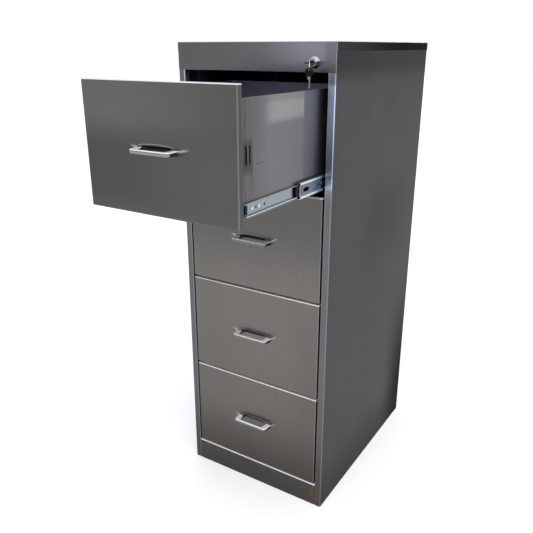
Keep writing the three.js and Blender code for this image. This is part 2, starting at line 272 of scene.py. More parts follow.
def tinted(colour, *factors):
    """A colour whose parts are scaled, all by one factor or each by its own."""
    factors = factors * 3 if len(factors) == 1 else factors
    return tuple(min(part * factor, 1.0) for part, factor in zip(colour, factors))


# ---------------------------------------------------------------- materials


def brushed_steel(name, colour, roughness, grain=UPRIGHT, tint=(1.0, 1.0, 1.05), extra=None,
                  edge=0.6, metal=1.0, brushing=0.5):
    """Satin sheet with its grain along Z unless told otherwise, broad clouds and painted highlights on its
    bends.
    """
    book = NodeBook(name)
    hair = book.noise(1100.0, grain, detail=3.0)
    lines = book.noise(170.0, grain, detail=3.0, shift=(3.1, 1.7, 0.4))
    cloud = book.noise(2.4, detail=3.0, shift=(0.7, 2.2, 5.1))
    haze = book.noise(7.0, (1, 1, 0.35), detail=4.0, shift=(4.0, 0.3, 1.9))
    shade = book.band(0.45 * hair + 0.25 * lines + 0.3 * haze, 0.3, 0.7)
    base = book.blend(shade, tinted(colour, 0.9), tinted(colour, *(part * 1.08 for part in tint)))
    base = book.blend(book.band(cloud, 0.35, 0.7) * 0.3, base, tinted(colour, 0.8))
    gloss = roughness - 0.04 + 0.05 * lines + 0.07 * cloud + 0.04 * haze
    if extra:
        base, gloss = extra(book, base, gloss)
    # Painted highlights on the bends, by each face's painted light, which also makes those faces less
    # metallic.
    painted_light = book.painted_light()
    highlight = painted_light * (0.75 + 0.3 * book.noise(130.0, detail=2.0))
    base = book.blend(highlight.clamped(), base, (0.93, 0.93, 0.98))
    book.set(Base_Color=base, Roughness=gloss, Metallic=metal - 0.8 * metal * book.band(painted_light, 0.45, 0.95),
             Anisotropic=brushing, Specular_Tint=(edge, edge, edge))
    book.bump(hair * 0.7 + lines * 0.3, 0.00008, 0.25)


def chrome(name, colour, deep=None, middling=None):
    """Plating; where a deep colour is given, each face runs from deep through middling to white by its
    painted light, as painted reflections and highlights.
    """
    book = NodeBook(name)
    haze = book.noise(40.0, detail=3.0)
    base = book.blend(haze, tinted(colour, 0.94), colour)
    metal = 1.0
    if deep:
        # Painted reflections: each face dark, grey or white, and the white ones less metallic.
        light = book.painted_light()
        shade = book.ramp(light, [(0.0, deep), (0.5, middling), (1.0, WHITE)])
        base = book.blend(1.0, base, shade, "MULTIPLY")
        metal = 1 - 0.95 * book.band(light, 0.85, 1.0)
    book.set(Base_Color=base, Roughness=0.05 + 0.05 * haze, Metallic=metal)
    book.bump(book.noise(90.0, detail=1.0), 0.0002, 0.04)


def zinc_plate(name, colour, edge):
    """Bright zinc: drawn lines along Y, a faint bloom, and painted highlights on its rolled edges."""
    book = NodeBook(name)
    drawn = book.noise(900.0, (1, 0.008, 1), detail=2.0)
    bloom = book.band(book.noise(28.0, (1, 0.5, 1), detail=3.0), 0.3, 0.75)
    base = book.blend(bloom * 0.6, tinted(colour, 0.9), tinted(colour, 1.1))
    # The edge colour is a painted highlight laid on by each face's painted light.
    base = book.coats(base, (drawn * 0.35, tinted(colour, 0.84, 0.97, 1.1)), (book.painted_light() * 0.85, edge))
    book.set(Base_Color=base, Roughness=0.22 + 0.07 * bloom + 0.06 * drawn, Metallic=1.0)
    book.bump(drawn, 0.0001, 0.2)


def moulded_plastic(name, colour):
    """Dark moulding with a fine grain, paler where it is handled."""
    book = NodeBook(name)
    grain = book.noise(1400.0, detail=2.0)
    handled = book.band(book.noise(120.0, detail=3.0), 0.55, 0.75)
    book.set(Base_Color=book.blend(handled * 0.4, colour, tuple(part + 0.006 for part in colour)),
             Roughness=0.42 + 0.16 * grain, Specular_IOR_Level=0.15)
    book.bump(grain, 0.00008, 0.3)


def weld_tint(book, base, gloss):
    """The straw heat colour left where the kick plate is welded to the right stile."""
    low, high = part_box("side_panel_right")
    stretch = Vector((1.6, 1.0, 0.8))
    centre = Vector((high.x - 0.021, low.y, 0.036)) * stretch
    away = book.distance(book.place(stretch), centre)
    patch = book.fade(away, 0.006, 0.038) * (0.35 + 0.8 * book.noise(60.0, detail=3.0))
    return book.blend((patch * 0.75).clamped(), base, (0.13, 0.09, 0.062)), gloss + 0.08 * patch


def floor_shade(book, base, gloss):
    """Painted shade: darker and warmer towards the floor, and duller there as well."""
    z = book.axis("Z")
    knee, foot = book.fade(z, 0.12, 0.62), book.fade(z, 0.0, 0.30)
    base = book.coats(base, (knee * 0.30, (0.085, 0.074, 0.066)), (foot * 0.55, (0.034, 0.031, 0.028)))
    return base, gloss + 0.05 * foot


def streak(book, x, z, start, angle, length):
    """A fading glint that leaves a point at an angle, on a plane of x and z."""
    along, across = math.cos(math.radians(angle)), math.sin(math.radians(angle))
    u = (x - start[0]) * along + (z - start[1]) * across
    v = (z - start[1]) * along - (x - start[0]) * across
    return book.within(v, 0.0002, 0.0036) * book.fade(u, 0.0, length) * book.band(u, -0.004, 0.0)


def crest(book, z, top, pitch):
    """A painted highlight along the top edge of a sheet, repeated up the cabinet at a pitch."""
    return book.fade((top + 8 * pitch - z) % pitch, 0.0014, 0.0024)


def front_tones(book, base, gloss):
    """Drawer fronts with painted light: painted shade near the top and on the right, a painted sheen, the
    pull's painted dark reflection with a highlight rim, painted glints round its feet, painted highlights
    on the top edges and painted shade towards the floor.
    """
    x, z = book.axis("X"), book.axis("Z")
    low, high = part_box("drawer_4_handle")
    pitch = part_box("drawer_3_handle")[0].z - low.z
    rise = (z - ((low.z + high.z) / 2 - pitch / 2)) % pitch - pitch / 2
    upper = book.band(z, 0.95, 0.96)
    # Painted shade darkens the upper fronts, the top one most about its middle height and towards the
    # right; a painted sheen lights the upper left of the top front.
    dip = book.between(z, 0.90, 1.0, 1.10, 1.18) * (0.62 - 0.35 * book.band(x, -0.15, 0.15))
    sheen = book.band(z, 1.08, 1.16) * book.fade(x, -0.12, 0.12)
    right_shade = book.band(x, 0.06, 0.20) * (book.band(z, 1.08, 1.14) + book.fade(z, 0.50, 0.70) * 0.55)
    # Painted dark reflection of each pull on its front, a painted highlight rim above it, and painted
    # glints from its feet.
    pull_reflection = book.within(x, 0.036, 0.043) * book.between(rise, 0.0055, 0.0068, 0.0098, 0.0112)
    rim = book.within(rise + x * x * 1.6 - 0.0142, 0.0004, 0.0018) * book.within(x, 0.044, 0.056)
    glint = (rim * 0.16 + streak(book, x, rise, (-0.056, 0.005), 165, 0.022) * 0.36
             + streak(book, x, rise, (0.058, 0.003), 13, 0.036) * upper * 0.75
             + streak(book, x, rise, (0.056, 0.003), 31, 0.030) * (1 - upper) * 0.65)
    base = book.coats(
        base,
        (book.band(z, 0.66, 0.88) * 0.71, (0.082, 0.083, 0.082)),
        (dip, (0.052, 0.053, 0.049)),
        (sheen * 0.28, (0.165, 0.162, 0.160)),
        (right_shade * 0.30, (0.060, 0.061, 0.058)),
        (pull_reflection * 0.93, (0.004, 0.004, 0.004)),
        (glint.clamped(), (0.80, 0.81, 0.83)),
        (crest(book, z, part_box("drawer_4_front")[1].z, pitch), WHITE),
        (book.fade(z, 0.05, 0.26) * 0.25, (0.030, 0.027, 0.022)))
    return floor_shade(book, base, gloss)


def carcass_tones(book, base, gloss):
    """Stiles: painted shade towards the floor, heat colour at the kick plate, a painted blue reflection on
    the head of the right one, and painted highlights on the outer edges.
    """
    base, gloss = floor_shade(book, base, gloss)
    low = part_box("side_panel_right")[0]
    x, y, z = book.axes()
    ahead = book.fade(y, low.y + 0.05, low.y + 0.10)
    right = book.band(x, 0.20, 0.203) * ahead
    under_cap = book.band(z, 1.206, 1.220)
    ripple = 0.85 + 0.25 * book.noise(14.0, (1, 1, 0.5), detail=2.0)
    # Painted blue reflection on the head of the right stile, weaker under the cap, a painted highlight band
    # beside it, and painted highlights on the stiles' outer edges near the top.
    head = book.band(z, 1.01, 1.17) * (1 - 0.75 * under_cap)
    beside = right * book.between(z, 0.964, 0.970, 0.990, 0.997)
    lip = book.beyond(x, -low.x - 0.0034, -low.x - 0.0018) * ahead * book.band(z, 1.03, 1.06)
    base = book.coats(
        base,
        (right * book.band(z, 0.93, 0.99) * (1 - 0.4 * under_cap) * 0.62, (0.30, 0.345, 0.46)),
        ((right * head * ripple).clamped(), (0.66, 0.80, 1.0)),
        (beside * 0.35, (0.62, 0.68, 0.88)),
        (lip * 0.8, (0.92, 0.93, 1.0)))
    return weld_tint(book, base, gloss)


def cap_tones(book, base, gloss):
    """Cap: a painted violet sheen on the fascia by the lock, painted shade on its left and lower edge, and
    painted shade that turns the side flanges black.
    """
    low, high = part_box("top_cap")
    x, y, z = book.axes()
    ahead = book.fade(y, low.y + 0.002, low.y + 0.02)
    violet_sheen = book.band(x, 0.0, 0.17) * (1 - 0.55 * book.band(x, 0.195, 0.216)) * ahead
    under = book.fade(z, low.z, low.z + 0.032) * book.band(x, -0.06, 0.12)
    side = book.beyond(x, high.x - 0.0012, high.x - 0.0004)
    # Painted shade on the side flanges: near black at the front, black towards the back.
    flange = book.blend(book.band(y, low.y, 0.1), (0.045, 0.044, 0.046), BLACK)
    base = book.coats(
        base,
        (violet_sheen * 0.8, (0.262, 0.255, 0.302)),
        (book.fade(x, -0.19, 0.06) * 0.55 * ahead, (0.088, 0.088, 0.086)),
        (under * 0.62, (0.125, 0.122, 0.130)),
        (side * 0.95, flange))
    return base, gloss


def plinth_tones(book, base, gloss):
    """Kick plate: the weld's heat colour, painted shade at its foot and a painted highlight along its top
    edge.
    """
    base, gloss = weld_tint(book, *floor_shade(book, base, gloss))
    return book.blend(crest(book, book.axis("Z"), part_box("plinth")[1].z, 1.0), base, WHITE), gloss


def side_tones(book, base, gloss):
    """Side sheet: painted shade behind the front fold and under the cap, streaked, with two painted dark
    patches and painted shade at its foot.
    """
    low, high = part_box("side_panel_right")
    x, y, z = book.axes()
    right = book.band(x, 0.215, 0.225)
    front = book.fade(y, low.y + 0.014, low.y + 0.05)
    top = book.band(z, high.z - 0.11, high.z - 0.05)
    runs = book.band(book.noise(16.0, (1, 1, 0.05), detail=4.0, shift=(7, 2, 1)), 0.5, 0.72)
    # Two painted dark patches: one at mid height on the right side, and its low rear painted black.
    dip = right * book.between(z, 0.62, 0.80, 0.84, 0.98) * book.between(y, -0.24, 0.02, 0.1, 0.28)
    far = book.band(y, 0.12, 0.31) * book.fade(z, 0.12, 0.62) * right
    foot = book.fade(z, 0.0, 0.20)
    base = book.coats(
        base,
        ((front * 0.05 + top * 0.8).clamped(), (0.036, 0.035, 0.038)),
        (runs * 0.15, (0.125, 0.126, 0.14)),
        (dip * 0.35, (0.03, 0.03, 0.03)),
        (far * 0.85, BLACK),
        (foot * 0.54, (0.028, 0.029, 0.024)))
    return weld_tint(book, base, gloss + 0.05 * foot + 0.18 * far)


def tray_tones(book, base, gloss):
    """Drawer bodies: a pale painted patch of light high on the side with painted cool shade past it, greyer
    towards the front with dark drips there, and painted shade round the catch.
    """
    body_low, body_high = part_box("drawer_1_body")
    place = book.place((1, 1, 1), (0, -body_low.y, -body_low.z))
    y, z = (book.node("ShaderNodeSeparateXYZ", {}, (place,), letter) for letter in "YZ")
    tall = body_high.z - body_low.z
    # Painted light: a pale patch high on the side, mottled, with painted cool shade past its rear end.
    pale = book.between(y, 0.085, 0.13, 0.258, 0.266) * book.band(z, tall - 0.064, tall - 0.046)
    lit_patch = pale * (1 - 0.45 * book.band(z, tall - 0.018, tall - 0.012))
    mottle = 0.45 + 0.9 * book.noise(30.0, (1, 1, 0.3), detail=3.0)
    near = book.fade(y, 0.02, 0.13) * 0.8
    # Painted shade round the catch's window.
    halo = book.within(y - 0.032, 0.010, 0.024) * book.within(z - 0.130, 0.022, 0.042)
    drips = book.band(book.noise(45.0, (1, 1, 0.08), detail=4.0, shift=(2, 5, 3)), 0.48, 0.62)
    flat = Vector((0, 0.07, 1))
    squeezed = book.node("ShaderNodeVectorMath", {"operation": "MULTIPLY"}, (place, flat), "Vector")
    from_scuff = book.distance(squeezed, Vector((0, 0.080, 0.1115)) * flat)
    scuff = book.fade(from_scuff, 0.0005, 0.0022) * book.noise(90.0, detail=3.0)
    base = book.coats(
        base,
        ((lit_patch * mottle * 0.5).clamped(), (0.44, 0.435, 0.42)),
        (book.band(y, 0.258, 0.266) * 0.35, (0.095, 0.10, 0.14)),
        (near, (0.130, 0.129, 0.127)),
        (halo * 0.6, (0.045, 0.045, 0.043)),
        (drips * book.fade(y, 0.03, 0.085) * 0.6, (0.06, 0.06, 0.062)),
        ((scuff * 1.3).clamped(), (0.15, 0.055, 0.05)))
    return base, gloss + 0.06 * near


def mix_finishes(finish):
    """Every finish of the cabinet, made once; pieces look them up by name."""
    rough = finish.gloss
    steel, chromed, zinc = tuple(finish.carcass), tuple(finish.chrome), tuple(finish.zinc)
    brushed_steel("stile steel", steel, rough, extra=carcass_tones)
    brushed_steel("cap steel", steel, rough, ACROSS, extra=cap_tones, edge=0.5)
    brushed_steel("plinth steel", tinted(steel, 0.95), rough, ACROSS, (1.0, 0.98, 0.95), plinth_tones)
    # A darker copy of the carcass steel: painted shade on the side panels; the base and back use it too.
    brushed_steel("side steel", tuple(finish.side), rough + 0.05, extra=side_tones)
    brushed_steel("front steel", tuple(finish.front), rough - 0.02, tint=(1.0, 0.99, 0.97),
                  extra=front_tones)
    brushed_steel("inner steel", tuple(finish.inner), rough + 0.06, extra=tray_tones)
    # A paler, bluer and less metallic copy of the drawer steel: painted light inside the drawers.
    brushed_steel("drawer inside", (0.30, 0.308, 0.385), rough + 0.25, metal=0.45, brushing=0.0)
    chrome("polished chrome", chromed)
    # Chrome that takes painted reflections and highlights from each face's painted light.
    chrome("shaped chrome", chromed, (0.05, 0.055, 0.06), (0.28, 0.28, 0.275))
    chrome("key steel", (0.17, 0.155, 0.145))
    zinc_plate("zinc plate", zinc, (0.74, 0.78, 0.78))
    # Darker copies of the zinc: painted shade on the middle members and, darkest, on the lock catches.
    zinc_plate("oiled zinc", tinted(zinc, 0.42, 0.54, 0.6), (0.70, 0.73, 0.72))
    zinc_plate("dark zinc", tinted(zinc, 0.12), (0.5, 0.5, 0.55))
    moulded_plastic("black plastic", tuple(finish.plastic))


# ---------------------------------------------------------------- mesh helpers


def verts_of(geometry):
    return [g for g in geometry if isinstance(g, bmesh.types.BMVert)]


def inner_edges(bm):
    """Edges between two faces."""
    return [e for e in bm.edges if len(e.link_faces) == 2]


def open_edges(bm):
    """Edges on a rim."""
    return [e for e in bm.edges if len(e.link_faces) == 1]


def sharp_edges(bm, angle=math.radians(25)):
    return [e for e in inner_edges(bm) if e.calc_face_angle(0.0) > angle]


def lies_at(edge, axis, level):
    """Whether both ends of an edge are at a level on an axis."""
    return all(abs(getattr(vert.co, axis) - level) < TOUCHING for vert in edge.verts)


def is_level(edge, slack=TOUCHING):
    """Whether an edge runs level, give or take some slack."""
    first, last = edge.verts
    return abs(first.co.z - last.co.z) < slack


def box_shape(bm, low, high):
    """A box between two corners."""
    low, high = Vector(low), Vector(high)
    verts = bmesh.ops.create_cube(bm, size=1.0)["verts"]
    bmesh.ops.scale(bm, vec=high - low, verts=verts)
    bmesh.ops.translate(bm, vec=(low + high) / 2, verts=verts)


def bevel(bm, edges, radius, segments=4):
    bmesh.ops.bevel(
        bm, geom=list(edges), offset=radius, segments=segments, profile=0.5, affect="EDGES",
        clamp_overlap=True, material=-1)


def split_at(bm, point, normal, faces=None):
    """Cuts the faces along a plane."""
    faces = faces or list(bm.faces)
    geometry = list(dict.fromkeys(g for f in faces for g in (*f.verts, *f.edges, f)))
    bmesh.ops.bisect_plane(bm, geom=geometry, dist=TOUCHING, plane_co=point, plane_no=normal)


def drop_faces(bm, test):
    bmesh.ops.delete(bm, geom=[f for f in bm.faces if test(f)], context="FACES")


def thicken(bm, thickness):
    """Gives an open sheet its wall, inwards from its outer face."""
    bmesh.ops.solidify(bm, geom=list(bm.faces), thickness=thickness)


def spot_on(axis, u, v, w):
    """The point w along an axis, and u and v along the other two."""
    along = "XYZ".index(axis)
    return Vector([u, v][:along] + [w] + [u, v][along:])


def fold(path, axis, start, end, radius, thickness):
    """A sheet bent along a path and drawn out along an axis. The path is the sheet's outer face."""
    bm = bmesh.new()
    corners = [bm.verts.new(spot_on(axis, u, v, start)) for u, v in path]
    edges = [bm.edges.new(pair) for pair in zip(corners, corners[1:])]
    drawn = bmesh.ops.extrude_edge_only(bm, edges=edges)["geom"]
    bmesh.ops.translate(bm, vec=spot_on(axis, 0, 0, end - start), verts=verts_of(drawn))
    bm.normal_update()
    (u0, v0), (u1, v1) = path[:2]
    if edges[0].link_faces[0].normal.dot(spot_on(axis, v1 - v0, u0 - u1, 0)) < 0:
        bmesh.ops.reverse_faces(bm, faces=bm.faces)
    if radius:
        bevel(bm, inner_edges(bm), radius)
    if thickness:
        thicken(bm, thickness)
    return bm


def prism(outline, axis, start, end):
    """A flat outline drawn out along an axis into a solid."""
    bm = bmesh.new()
    face = bm.faces.new([bm.verts.new(spot_on(axis, u, v, start)) for u, v in outline])
    drawn = bmesh.ops.extrude_face_region(bm, geom=[face])["geom"]
    bmesh.ops.translate(bm, vec=spot_on(axis, 0, 0, end - start), verts=verts_of(drawn))
    bmesh.ops.recalc_face_normals(bm, faces=bm.faces)
    return bm


def mirror(bm):
    """Turns a right-hand piece into its left-hand twin."""
    bmesh.ops.scale(bm, vec=(-1, 1, 1), verts=bm.verts)
    bmesh.ops.reverse_faces(bm, faces=bm.faces)


def put(bm, place, turn):
    """Turns a mesh about the origin, then moves it to its place."""
    bmesh.ops.transform(bm, matrix=Matrix.Translation(place) @ turn, verts=bm.verts)


def joined(*parts):
    """Several meshes as one."""
    whole = bmesh.new()
    for part in parts:
        mesh = bpy.data.meshes.new("part")
        part.to_mesh(mesh)
        part.free()
        whole.from_mesh(mesh)
        bpy.data.meshes.remove(mesh)
    return whole


def rod(radius, start, end, sides, rounding):
    """A round bar between two points."""
    start, end = Vector(start), Vector(end)
    bm = bmesh.new()
    bmesh.ops.create_cone(
        bm, cap_ends=True, segments=sides, radius1=radius, radius2=radius, depth=(end - start).length)
    bevel(bm, [e for e in bm.edges if is_level(e, 1e-7)], rounding, 2)
    put(bm, (start + end) / 2, (end - start).to_track_quat("Z", "Y").to_matrix().to_4x4())
    return bm


def block(x, y, middle, half, rounding):
    """A rounded block between two x and two y values, as tall above its middle as below."""
    bm = bmesh.new()
    box_shape(bm, (x[0], y[0], middle - half), (x[1], y[1], middle + half))
    bevel(bm, bm.edges, rounding, 2)
    return bm


def turned(profile, centre, steps):
    """A profile of (radius, y) points spun round an axis along Y."""
    bm = bmesh.new()
    ring = [bm.verts.new((centre.x + radius, y, centre.z)) for radius, y in profile]
    edges = [bm.edges.new(pair) for pair in zip(ring, ring[1:])]
    bmesh.ops.spin(
        bm, geom=[*ring, *edges], cent=centre, axis=(0, 1, 0), angle=math.tau, steps=steps,
        use_merge=True)
    bmesh.ops.remove_doubles(bm, verts=bm.verts, dist=TOUCHING)
    bmesh.ops.recalc_face_normals(bm, faces=bm.faces)
    return bm


def from_node(node):
    """A merged copy of a model node, its flat faces made whole again."""
    bm = bmesh.new()
    bm.from_mesh(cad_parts[node].data)
    bmesh.ops.remove_doubles(bm, verts=bm.verts, dist=TOUCHING)
    bmesh.ops.dissolve_limit(bm, angle_limit=math.radians(0.5), verts=bm.verts, edges=bm.edges)
    return bm


def rounded(node, radius, angle=math.radians(25)):
    """A copy of a model node with its sharp edges rounded."""
    bm = from_node(node)
    bevel(bm, sharp_edges(bm, angle), radius, 2)
    return bm


def face_light(face, flat_top=0.0, upright=0.10):
    """How much painted highlight a face gets: bends that look up the most, those that look down not at all.
    """
    if max(abs(part) for part in face.normal) > 0.99:
        return flat_top if face.normal.z > 0.5 else 0.0
    if face.normal.z > 0.3:
        return 1.0
    return upright if face.normal.z > -0.3 else 0.0


def topped(face):
    """Painted highlight of a sheet whose flat upper flange is highlighted as well."""
    return face_light(face, flat_top=1.0)


def dim_face_light(face):
    """Painted highlight of a thin turned rim, less than half as bright."""
    return face_light(face) * 0.4


def plated(face):
    """Painted highlight of rolled zinc, bright on every bend."""
    return face_light(face, flat_top=1.0, upright=0.8)


def finish_piece(bm, name, body, finish, stands_for=(), smooth=35.0, tone=face_light):
    """Turns a mesh into a named piece that rides on a body; tone gives each face its painted light."""
    bm.normal_update()
    painted_light = bm.loops.layers.float.new(PAINTED_LIGHT)
    for face in bm.faces:
        level = tone(face)
        for loop in face.loops:
            loop[painted_light] = level
    mesh = bpy.data.meshes.new(name)
    bm.to_mesh(mesh)
    bm.free()
    mesh.materials.append(bpy.data.materials[finish])
    mesh.shade_smooth()
    mesh.set_sharp_from_angle(angle=math.radians(smooth))
    piece = bpy.data.objects.new(name, mesh)
    bpy.context.scene.collection.objects.link(piece)
    even = piece.modifiers.new("even shading", "WEIGHTED_NORMAL")
    even.keep_sharp = True
    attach(piece, body)
    if stands_for:
        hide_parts(*stands_for)
    return piece


def second_finish(piece, finish, test):
    """Gives a finish of their own to the faces that pass a test."""
    piece.data.materials.append(bpy.data.materials[finish])
    for polygon in piece.data.polygons:
        polygon.material_index = int(test(polygon))


def settings(context):
    return context.scene.cabinet


# ---------------------------------------------------------------- carcass


def side_panel(sheet):
    """The right-hand panel: stile, side and rear fold in one sheet, cut back where the cap sits."""
    low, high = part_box("side_panel_right")
    stile_return, rear_fold = 0.018, 0.020
    front_cut, rear_cut = low.y + 0.0028, high.y - 0.0026
    stile_top, rear_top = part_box("top_cap")[0].z - 0.0003, high.z - 0.0213
    path = [
        (low.x, low.y + stile_return),
        (low.x, low.y),
        (high.x, low.y),
        (high.x, high.y),
        (high.x - rear_fold, high.y),
    ]
    bm = fold(path, "Z", 0.0, high.z, sheet.bend, 0.0)
    split_at(bm, (0, 0, stile_top), (0, 0, 1))
    split_at(bm, (0, front_cut, 0), (0, 1, 0))
    split_at(bm, (0, 0, rear_top), (0, 0, 1))
    split_at(bm, (0, rear_cut, 0), (0, 1, 0))

    def under_cap(face):
        centre = face.calc_center_median()
        front = centre.z > stile_top and (centre.x < high.x - 1e-4 or centre.y < front_cut)
        rear = centre.z > rear_top and centre.y > rear_cut
        return front or rear

    drop_faces(bm, under_cap)
    thicken(bm, sheet.thickness)
    return bm


class CABINET_OT_side_panels(bpy.types.Operator):
    """Folds the two side panels"""

    bl_idname = "cabinet.side_panels"
    bl_label = "Side panels"

    def execute(self, context):
        sheet = settings(context).sheet
        for side, sign in SIDES.items():
            bm = side_panel(sheet)
            if sign < 0:
                mirror(bm)
            piece = finish_piece(bm, f"panel_{side}", "carcass", "stile steel",
                                 [f"side_panel_{side}"])
            # The outer side faces take the darker side steel: painted shade.
            second_finish(piece, "side steel",
                          lambda face: abs(face.normal.x) > 0.9 and abs(face.center.x) > 0.23)
        return {"FINISHED"}


def top_cap(sheet):
    """Top, fascia and flanges from one folded sheet, with a hem under the fascia."""
    low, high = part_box("top_cap")
    plinth_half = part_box("plinth")[1].x
    flange_bottom = high.z - 0.022
    flat_edge = high.x - sheet.bend
    hem, hem_bend = 0.012, 0.0014
    wing_depth = 0.46  # share of the corner bend that the fascia's ends keep
    bm = bmesh.new()
    box_shape(bm, low, high)
    drop_faces(bm, lambda face: face.normal.z < -0.5)
    bevel(bm, inner_edges(bm), sheet.bend)
    split_at(bm, (0, 0, flange_bottom), (0, 0, 1))

    def below_flange(face):
        return face.calc_center_median().z < flange_bottom

    for x in (-plinth_half, plinth_half):
        split_at(bm, (x, 0, 0), (1, 0, 0), [f for f in bm.faces if below_flange(f)])
    drop_faces(bm, lambda face: below_flange(face) and face.calc_center_median().y > low.y + sheet.bend)
    step = [e for e in inner_edges(bm)
            if lies_at(e, "z", flange_bottom) and all(abs(v.co.x) > flat_edge - NEAR for v in e.verts)]
    bmesh.ops.split_edges(bm, edges=step)
    wing = {v for f in bm.faces if below_flange(f) for v in f.verts if abs(v.co.x) > flat_edge + NEAR}
    for vert in wing:
        vert.co.x = math.copysign(flat_edge + (abs(vert.co.x) - flat_edge) * wing_depth, vert.co.x)
    bottom = [e for e in bm.edges
              if lies_at(e, "z", low.z) and all(abs(v.co.x) < plinth_half + NEAR for v in e.verts)]
    drawn = bmesh.ops.extrude_edge_only(bm, edges=bottom)["geom"]
    bmesh.ops.translate(bm, vec=(0, hem, 0), verts=verts_of(drawn))
    bm.normal_update()
    bevel(bm, [e for e in bottom if e.is_valid and len(e.link_faces) == 2], hem_bend, 3)
    bm.normal_update()
    thicken(bm, sheet.thickness)
    return bm


class CABINET_OT_top_cap(bpy.types.Operator):
    """Folds the cap with its fascia"""

    bl_idname = "cabinet.top_cap"
    bl_label = "Top cap"

    def execute(self, context):
        finish_piece(top_cap(settings(context).sheet), "cap", "carcass", "cap steel",
                     ["top_cap"])
        return {"FINISHED"}


class CABINET_OT_base_and_back(bpy.types.Operator):
    """Folds the kick plate, and rounds the back, base tray and uprights"""

    bl_idname = "cabinet.base_and_back"
    bl_label = "Plinth, base and back"

    def execute(self, context):
        sheet = settings(context).sheet
        low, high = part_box("plinth")
        shelf = low.y + 0.022
        bm = fold([(shelf, high.z), (low.y, high.z), (low.y, 0.0)], "X", low.x, high.x,
                  sheet.front_bend, sheet.thickness)
        finish_piece(bm, "kick_plate", "carcass", "plinth steel", ["plinth"], tone=topped)
        for node in ("base_panel", "back_panel"):
            finish_piece(rounded(node, sheet.edge), f"{node}_sheet", "carcass",
                         "side steel", [node])
        for node in (f"{end}_upright_{side}" for end in ("front", "rear") for side in SIDES):
            finish_piece(rounded(node, sheet.edge), f"{node}_channel", "carcass",
                         "inner steel", [node])
        return {"FINISHED"}


# ---------------------------------------------------------------- drawers


def drawer_front(number, sheet):
    """A shallow pan with lips returned behind it."""
    low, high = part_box(f"drawer_{number}_front")
    lip, rear_bend = 0.030, 0.0005
    bm = bmesh.new()
    box_shape(bm, low, high)
    rear = [f for f in bm.faces if f.normal.y > 0.9]
    bmesh.ops.inset_region(bm, faces=rear, thickness=lip, use_even_offset=True)
    bmesh.ops.delete(bm, geom=rear, context="FACES")
    bevel(bm, [e for e in bm.edges if any(abs(v.co.y - low.y) < TOUCHING for v in e.verts)],
          sheet.front_bend)
    thicken(bm, sheet.thickness)
    rear_bends = [e for e in sharp_edges(bm) if lies_at(e, "y", high.y)
                  and (abs(abs(e.verts[0].co.x) - high.x) < NEAR or is_level(e))]
    bevel(bm, rear_bends, rear_bend, 2)
    return bm


class CABINET_OT_drawer_fronts(bpy.types.Operator):
    """Folds the four drawer fronts with their returned lips"""

    bl_idname = "cabinet.drawer_fronts"
    bl_label = "Drawer fronts"

    def execute(self, context):
        for number in DRAWERS:
            finish_piece(drawer_front(number, settings(context).sheet), f"front_{number}",
                         f"drawer_{number}", "front steel", [f"drawer_{number}_front"],
                         tone=topped)
        return {"FINISHED"}


def tray(number, sheet):
    """A drawer body: five sides folded up, a turned-in rim, and the window for the lock catch."""
    low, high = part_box(f"drawer_{number}_body")
    middle = (low + high) / 2
    window_low = Vector((high.x, low.y + 0.0212, low.z + 0.114))
    window_high = Vector((high.x, low.y + 0.0432, low.z + 0.153))
    bend, rim_bend = 0.002, 0.0011
    turned_in, turned_down = (0.0024, 0.0), (0.0, 0.008)
    bm = bmesh.new()
    box_shape(bm, low, high)
    drop_faces(bm, lambda face: face.normal.z > 0.5)
    bevel(bm, inner_edges(bm), bend)
    for inwards, downwards in (turned_in, turned_down):
        drawn = bmesh.ops.extrude_edge_only(bm, edges=open_edges(bm))["geom"]
        for vert in verts_of(drawn):
            vert.co.x -= math.copysign(inwards, vert.co.x - middle.x)
            vert.co.y -= math.copysign(inwards, vert.co.y - middle.y)
            vert.co.z -= downwards
    bm.normal_update()
    bevel(bm, [e for e in sharp_edges(bm, 1.2) if lies_at(e, "z", high.z)], rim_bend, 3)

    def right_side():
        return [f for f in bm.faces if f.normal.x > 0.9 and f.calc_center_median().x > high.x - NEAR]

    for corner in (window_low, window_high):
        for normal in ((0, 1, 0), (0, 0, 1)):
            bm.normal_update()
            split_at(bm, corner, normal, right_side())

    def in_window(face):
        centre = face.calc_center_median()
        return (abs(centre.x - high.x) < NEAR and window_low.y < centre.y < window_high.y
                and window_low.z < centre.z < window_high.z)

    drop_faces(bm, in_window)
    bm.normal_update()
    thicken(bm, sheet.thickness)
    return bm


def catch_teeth(number):
    """The pressed ribs down the edge of a lock catch."""
    low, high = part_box(f"drawer_{number}_lock_catch")
    front = (low.y + high.y) / 2 - 0.0012
    ribs, margin, half, depth, rounding = 8, 0.0065, 0.0011, 0.0034, 0.0005
    pitch = (high.z - low.z - 2 * margin) / (ribs - 1)
    return joined(*(
        block((high.x - 0.0030, high.x - 0.0002), (front, front + depth), low.z + margin + i * pitch,
              half, rounding)
        for i in range(ribs)))


